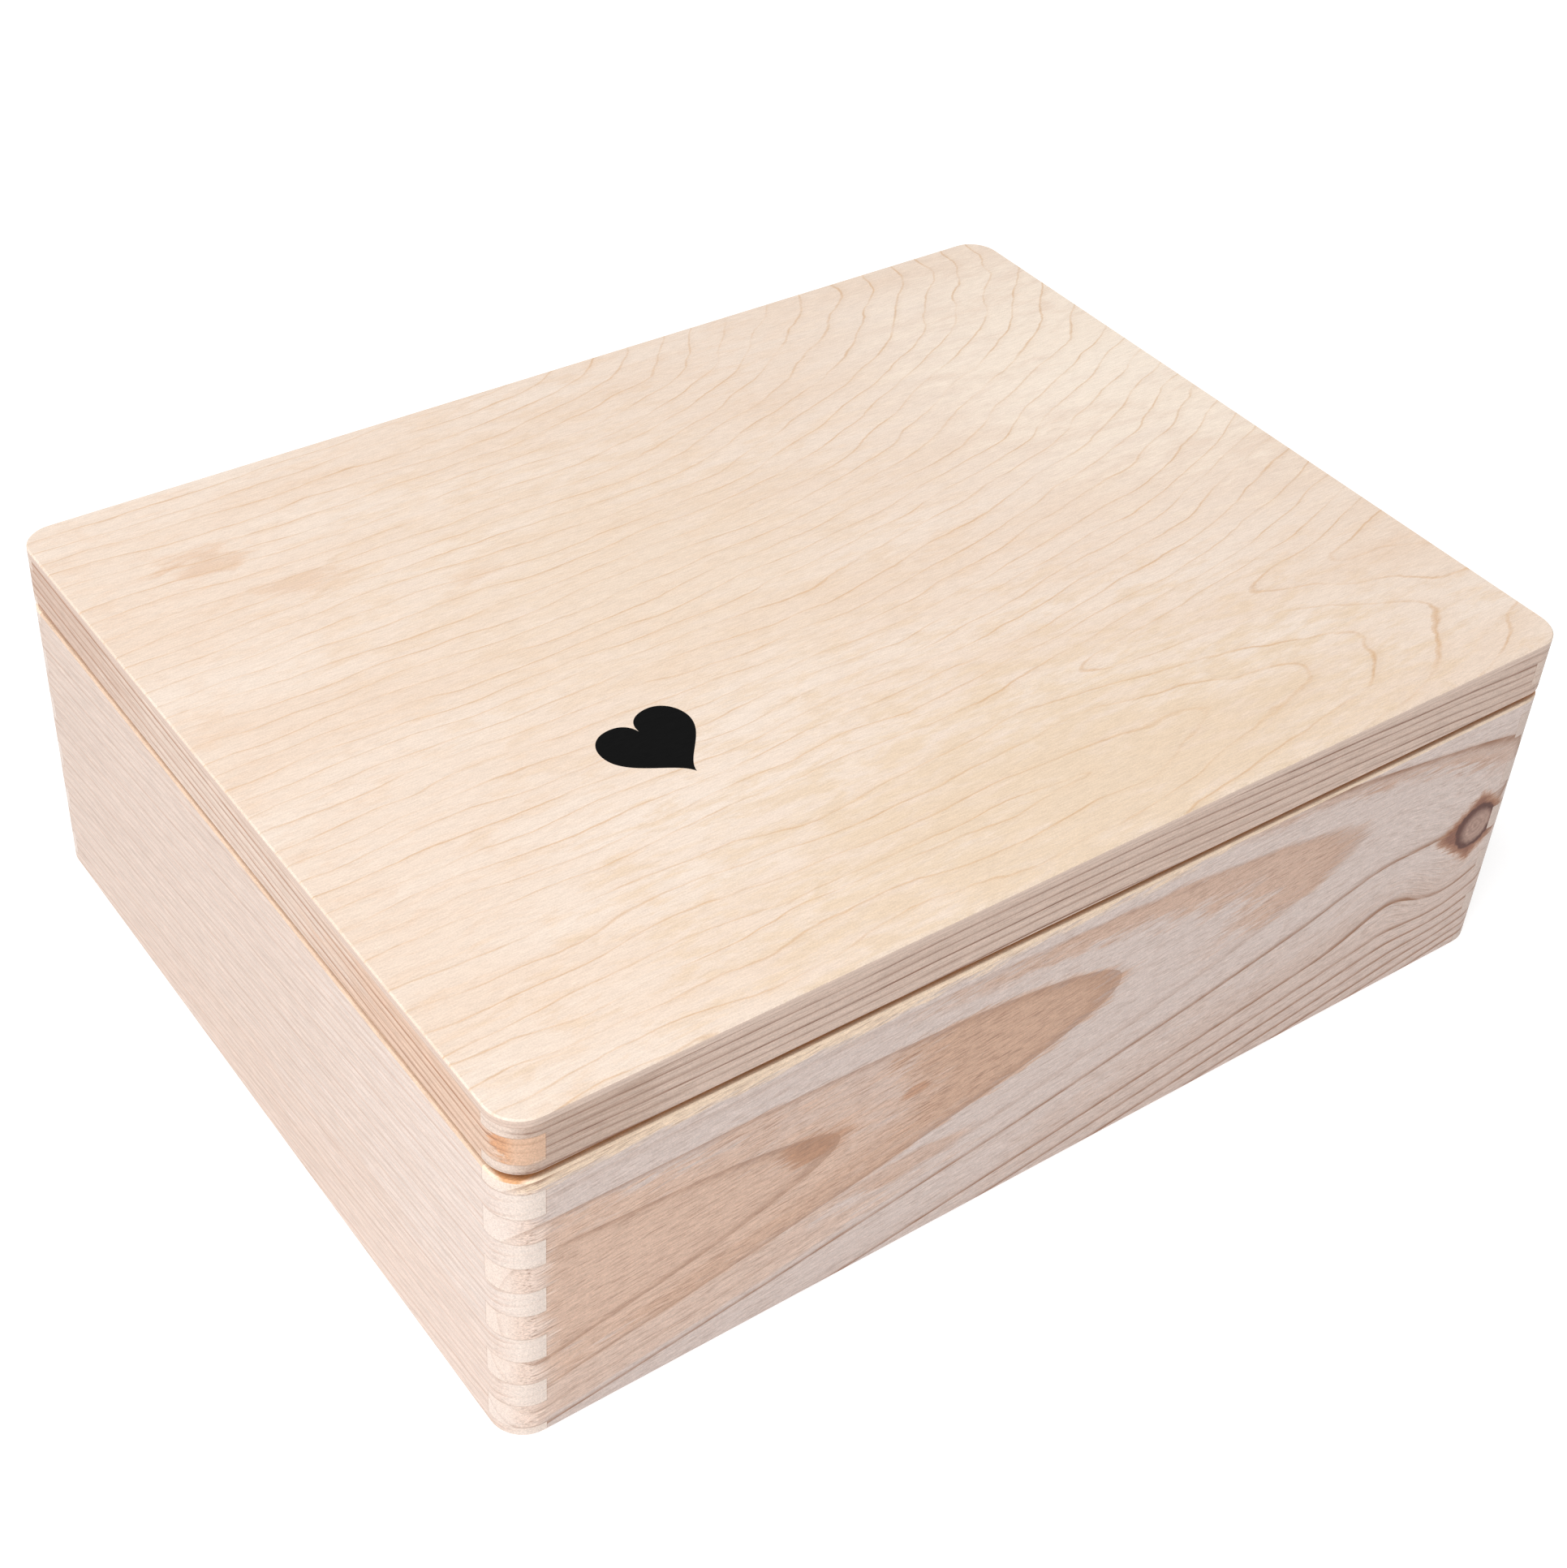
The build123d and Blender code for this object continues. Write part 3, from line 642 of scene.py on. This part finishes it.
    # The edge shows the plies, sanded to the colour of the rail below: a faint glue line and a brown core
    parts = add_node(tree, "ShaderNodeSeparateXYZ", {"Vector": place})
    ply = add_node(tree, "ShaderNodeMapRange", {"Value": parts.outputs["Z"], "From Min": ply_edges_mm[0],
                                                "From Max": ply_edges_mm[1]})
    glue = add_node(tree, "ShaderNodeValToRGB", {"Fac": ply},
                    stops=((0.0, 0.7), (0.08, 0.1), (0.32, 0.1), (0.40, 0.35), (0.47, 0.15), (0.70, 0.05),
                           (1.0, 0.0)))
    facing = add_node(tree, "ShaderNodeSeparateXYZ", {"Vector": surface.outputs["Normal"]})
    side = add_node(tree, "ShaderNodeMath", {0: facing.outputs["Z"]}, operation="ABSOLUTE")
    side = add_node(tree, "ShaderNodeMapRange", {"Value": side, "From Min": 0.7, "From Max": 0.3})
    colour = add_node(tree, "ShaderNodeMix", {"Factor": side, "A": colour, "B": linear("#D6BFB0")},
                      data_type="RGBA")
    glue = add_node(tree, "ShaderNodeMath", {0: glue, 1: side}, operation="MULTIPLY")
    colour = add_node(tree, "ShaderNodeMix", {"Factor": glue, "A": colour, "B": linear("#93705C")},
                      data_type="RGBA")

    # Short pores along the grain and the grit of the sanding, both drawn coarser than they are, to show
    pores = add_node(tree, "ShaderNodeVectorMath", {0: place, 1: (0.22, 2.2, 2.2)}, operation="MULTIPLY")
    pores = add_node(tree, "ShaderNodeTexNoise", {"Vector": pores, "Scale": 1.0, "Detail": 3.0,
                                                  "Roughness": 0.65})
    sanded_wood(tree, colour, place, pores, fibre_shades=(0.89, 1.09), grit_per_mm=1.9,
                grit_shades=(0.94, 1.055), roughness=0.55, relief=0.4, relief_m=0.00006)
    return birch


knotty_brown = "#CFA27C"
veneers = {
    "lid_panel": dict(fans=((-45.0, 173.0, 14.0, 7.6, 0.0), (16.0, -123.0, 34.0, 9.0, -30.0)),
                      blotches=((-156.0, 107.0, 24.0, 14.0, 0.36, knotty_brown),
                                (-134.0, 82.0, 24.0, 10.0, 0.3, knotty_brown),
                                (-84.0, 57.0, 20.0, 10.0, 0.26, knotty_brown),
                                # Broad blotches make the front and middle of the lid top a little darker
                                # and its right end paler
                                (15.0, -130.0, 215.0, 110.0, 0.85, "#E1CAB0"),
                                (-40.0, 30.0, 150.0, 150.0, 0.5, "#E3CDB6"),
                                (190.0, 60.0, 135.0, 135.0, 0.72, "#F3E5D5"))),
    "bottom_panel": dict(fans=((80.0, -140.0, 20.0, 8.0, 0.0), (-60.0, 60.0, 30.0, 9.0, -14.0))),
}
for node_name, veneer_facts in veneers.items():
    low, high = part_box(node_name)
    ply_edges_mm = (low.z * 1000, high.z * 1000)
    dress(node_name, birch_plywood(f"birch_plywood_{node_name}", ply_edges_mm, **veneer_facts))

# The hinge leaves are pressed from brass-plated steel strip, their knuckles rolled round a plated pin:
# bright and yellow, with fine scratches along the strip and a duller bloom where it was handled.
def plated_brass(name, grain_mm=(3.0, 0.15, 0.15)):
    """Brass plate on steel; grain_mm is the length and width of the scratches left by rolling. The bloom
    comes in spots of 5 or 6 mm."""
    brass, tree, surface, grain = bare_material(name, grain_mm)
    scratches = add_node(tree, "ShaderNodeTexNoise", {"Vector": grain, "Scale": 1.0, "Detail": 3.0})
    bloom = add_node(tree, "ShaderNodeTexNoise", {"Vector": surface.outputs["Object"], "Scale": 180.0,
                                                  "Detail": 3.0})
    colour = add_node(tree, "ShaderNodeMix", {"Factor": bloom.outputs["Fac"], "A": linear("#F7DD97"),
                                              "B": linear("#E0BC6C")}, data_type="RGBA")
    rough = add_node(tree, "ShaderNodeMapRange", {"Value": bloom.outputs["Fac"], "From Min": 0.3,
                                                  "From Max": 0.7, "To Min": 0.34, "To Max": 0.54})
    relief = add_node(tree, "ShaderNodeBump", {"Height": scratches.outputs["Fac"], "Strength": 0.3,
                                               "Distance": 0.00002})
    fill(tree, tree.nodes["Principled BSDF"],
         {"Base Color": colour, "Metallic": 1.0, "Roughness": rough, "Normal": relief})
    return brass


strip_brass = plated_brass("plated_brass_strip")
for side in ("left", "right"):
    for piece_name in ("base_leaf", "lid_leaf", "pin"):
        dress(f"{side}_hinge_{piece_name}", strip_brass)

# Each leaf is held by two countersunk wood screws: a crossed recess in a flat head, a short plain neck,
# a rolled thread and a point. They are steel, brass-plated in a barrel, and driven in flush.
head_radius = 0.0022
neck_radius = 0.0011
neck_length = 0.0012
shoulder_length = 0.0004
core_radius = 0.0008
thread_radius = 0.00105
thread_pitch = 0.0009
thread_turns = 7
steps_to_a_turn = 16
point_length = 0.0018
point_bluntness = 0.06
recess_radius = 0.0012
recess_depth = 0.0010
recess_waist = 0.42
screw_sides = 32
screw_brass = plated_brass("plated_brass_screw", grain_mm=(0.4, 0.4, 0.4))


def wood_screw(name, place, facing, length):
    """A screw with the middle of its head at place; facing is +1 when the head looks up."""
    bpy.ops.object.select_all(action="DESELECT")
    head_depth = head_radius - neck_radius
    bpy.ops.mesh.primitive_circle_add(vertices=screw_sides, radius=head_radius, fill_type="NGON")
    screw = bpy.context.object
    bpy.ops.object.mode_set(mode="EDIT")
    steps = (
        (head_depth, neck_radius / head_radius),
        (neck_length, 1.0),
        (shoulder_length, core_radius / neck_radius),
        (length - head_depth - neck_length - shoulder_length - point_length, 1.0),
        (point_length, point_bluntness),
    )
    for depth, narrowing in steps:
        bpy.ops.mesh.extrude_region_move(TRANSFORM_OT_translate={"value": (0.0, 0.0, -depth)})
        bpy.ops.transform.resize(value=(narrowing, narrowing, 1.0))
    bpy.ops.object.mode_set(mode="OBJECT")

    # The crossed recess is cut with a four-pointed star that starts above the head and narrows downwards
    bpy.ops.mesh.primitive_cone_add(vertices=8, radius1=recess_radius * 0.35, radius2=recess_radius * 1.1,
                                    depth=recess_depth * 1.1, location=(0.0, 0.0, -recess_depth * 0.45))
    star = bpy.context.object
    for vertex in star.data.vertices:
        angle = math.degrees(math.atan2(vertex.co.y, vertex.co.x)) % 90
        vertex.select = 30 < angle < 60
    for edge in star.data.edges:
        edge.select = False
    for face in star.data.polygons:
        face.select = False
    bpy.ops.object.mode_set(mode="EDIT")
    bpy.ops.mesh.select_mode(type="VERT")
    bpy.ops.transform.resize(value=(recess_waist, recess_waist, 1.0))
    bpy.ops.object.mode_set(mode="OBJECT")
    cut = screw.modifiers.new("recess", "BOOLEAN")
    cut.operation = "DIFFERENCE"
    cut.object = star
    bpy.context.view_layer.objects.active = screw
    bpy.ops.object.modifier_apply(modifier="recess")
    bpy.data.objects.remove(star)

    # The thread is a ridge wound round the core, its foot a little inside it
    thread_top = -(head_depth + neck_length + shoulder_length)
    bpy.ops.mesh.primitive_circle_add(vertices=3, radius=1.0)
    thread = bpy.context.object
    foot_radius = core_radius * 0.9
    half_width = thread_pitch * 0.35
    corners = ((foot_radius, half_width), (thread_radius, 0.0), (foot_radius, -half_width))
    for vertex, (out, along) in zip(thread.data.vertices, corners):
        vertex.co = (out, 0.0, thread_top - thread_turns * thread_pitch + along)
    wind = thread.modifiers.new("wind", "SCREW")
    wind.angle = math.radians(360)
    wind.screw_offset = thread_pitch
    wind.iterations = thread_turns
    wind.steps = steps_to_a_turn
    wind.render_steps = steps_to_a_turn
    wind.use_merge_vertices = True
    bpy.ops.object.modifier_apply(modifier="wind")
    bpy.ops.object.mode_set(mode="EDIT")
    bpy.ops.mesh.select_all(action="SELECT")
    bpy.ops.mesh.fill_holes(sides=3)
    bpy.ops.mesh.normals_make_consistent(inside=False)
    bpy.ops.object.mode_set(mode="OBJECT")
    bpy.ops.object.select_all(action="DESELECT")
    thread.select_set(True)
    screw.select_set(True)
    bpy.context.view_layer.objects.active = screw
    bpy.ops.object.join()
    bpy.ops.object.mode_set(mode="EDIT")
    bpy.ops.mesh.select_all(action="SELECT")
    if facing < 0:
        bpy.ops.transform.rotate(value=math.pi, orient_axis="X", center_override=(0.0, 0.0, 0.0))
    bpy.ops.transform.translate(value=place)
    bpy.ops.object.mode_set(mode="OBJECT")
    bpy.ops.object.shade_smooth_by_angle(angle=math.radians(30))
    screw.name = name
    screw.data.materials.append(screw_brass)
    return screw


for side in ("left", "right"):
    for body, facing in (("base", 1), ("lid", -1)):
        node_name = f"{side}_hinge_{body}_screws"
        low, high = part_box(node_name)
        head_z = high.z if facing > 0 else low.z
        for end, screw_x in (("outer", low.x + head_radius), ("inner", high.x - head_radius)):
            place = (screw_x, (low.y + high.y) / 2, head_z)
            screw = wood_screw(f"{side}_hinge_{body}_{end}_screw", place, facing, high.z - low.z)
            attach(screw, body)
            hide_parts(node_name)

# The lid carries one small print in black ink, a plain heart, laid flat on the raw veneer and so thin
# that only its colour shows. It leans a little, as if drawn by hand.
ink_thickness = 0.00002
heart_place = Vector((-0.0825, -0.0456))
heart_height = 0.0313
heart_lean = math.radians(10.5)
heart_outline = (
    ((0.0, -0.50), (-0.06, -0.28), (0.06, -0.28)),
    ((0.53, 0.20), (0.53, -0.12), (0.53, 0.37)),
    ((0.25, 0.50), (0.42, 0.50), (0.10, 0.50)),
    ((0.0, 0.29), (0.01, 0.42), (-0.01, 0.42)),
    ((-0.25, 0.50), (-0.10, 0.50), (-0.42, 0.50)),
    ((-0.53, 0.20), (-0.53, 0.37), (-0.53, -0.12)),
)
black_ink, ink_tree, _, ink_grain = bare_material("black_ink", (3.0, 0.4, 0.4))
ink_grain = add_node(ink_tree, "ShaderNodeTexNoise", {"Vector": ink_grain, "Scale": 1.0, "Detail": 2.0})
ink_colour = add_node(ink_tree, "ShaderNodeMix", {"Factor": ink_grain.outputs["Fac"],
                                                  "A": linear("#060606"), "B": linear("#101010")},
                      data_type="RGBA")
fill(ink_tree, ink_tree.nodes["Principled BSDF"],
     {"Base Color": ink_colour, "Roughness": 0.85, "Specular IOR Level": 0.1})
lid_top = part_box("lid_panel")[1].z
bpy.ops.object.select_all(action="DESELECT")
bpy.ops.curve.primitive_bezier_circle_add(radius=1.0, location=(0.0, 0.0, 0.0))
heart = bpy.context.object
heart.name = "printed_heart"
outline = heart.data.splines[0]
outline.bezier_points.add(len(heart_outline) - len(outline.bezier_points))
for point, (middle, left, right) in zip(outline.bezier_points, heart_outline):
    point.handle_left_type = "FREE"
    point.handle_right_type = "FREE"
    point.co = (*middle, 0.0)
    point.handle_left = (*left, 0.0)
    point.handle_right = (*right, 0.0)
heart.data.dimensions = "2D"
heart.data.fill_mode = "BOTH"
heart.data.resolution_u = 24
heart.data.extrude = 0.5
bpy.ops.object.convert(target="MESH")
heart.scale = (heart_height, heart_height, ink_thickness)
heart.rotation_euler = (0.0, 0.0, heart_lean)
heart.location = (*heart_place, lid_top + ink_thickness / 2)
bpy.ops.object.transform_apply(location=True, rotation=True, scale=True)
heart.data.materials.append(black_ink)
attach(heart, "lid")

# The box stands on a wide sheet of matt white board. The board is lit evenly from all around, so it shows
# next to no shadow: a glow of its own stands for that light.
floor_size = 40.0
floor_glow = 0.72
bpy.ops.mesh.primitive_plane_add(size=floor_size, location=(0.0, 0.0, 0.0))
floor = bpy.context.object
floor.name = "floor"
white_board = bpy.data.materials.new("white_board")
white_board.use_nodes = True
fill(white_board.node_tree, white_board.node_tree.nodes["Principled BSDF"],
     {"Base Color": linear("#B3B3B3"), "Roughness": 0.9, "Emission Color": linear("#FFFFFF"),
      "Emission Strength": floor_glow})
floor.data.materials.append(white_board)
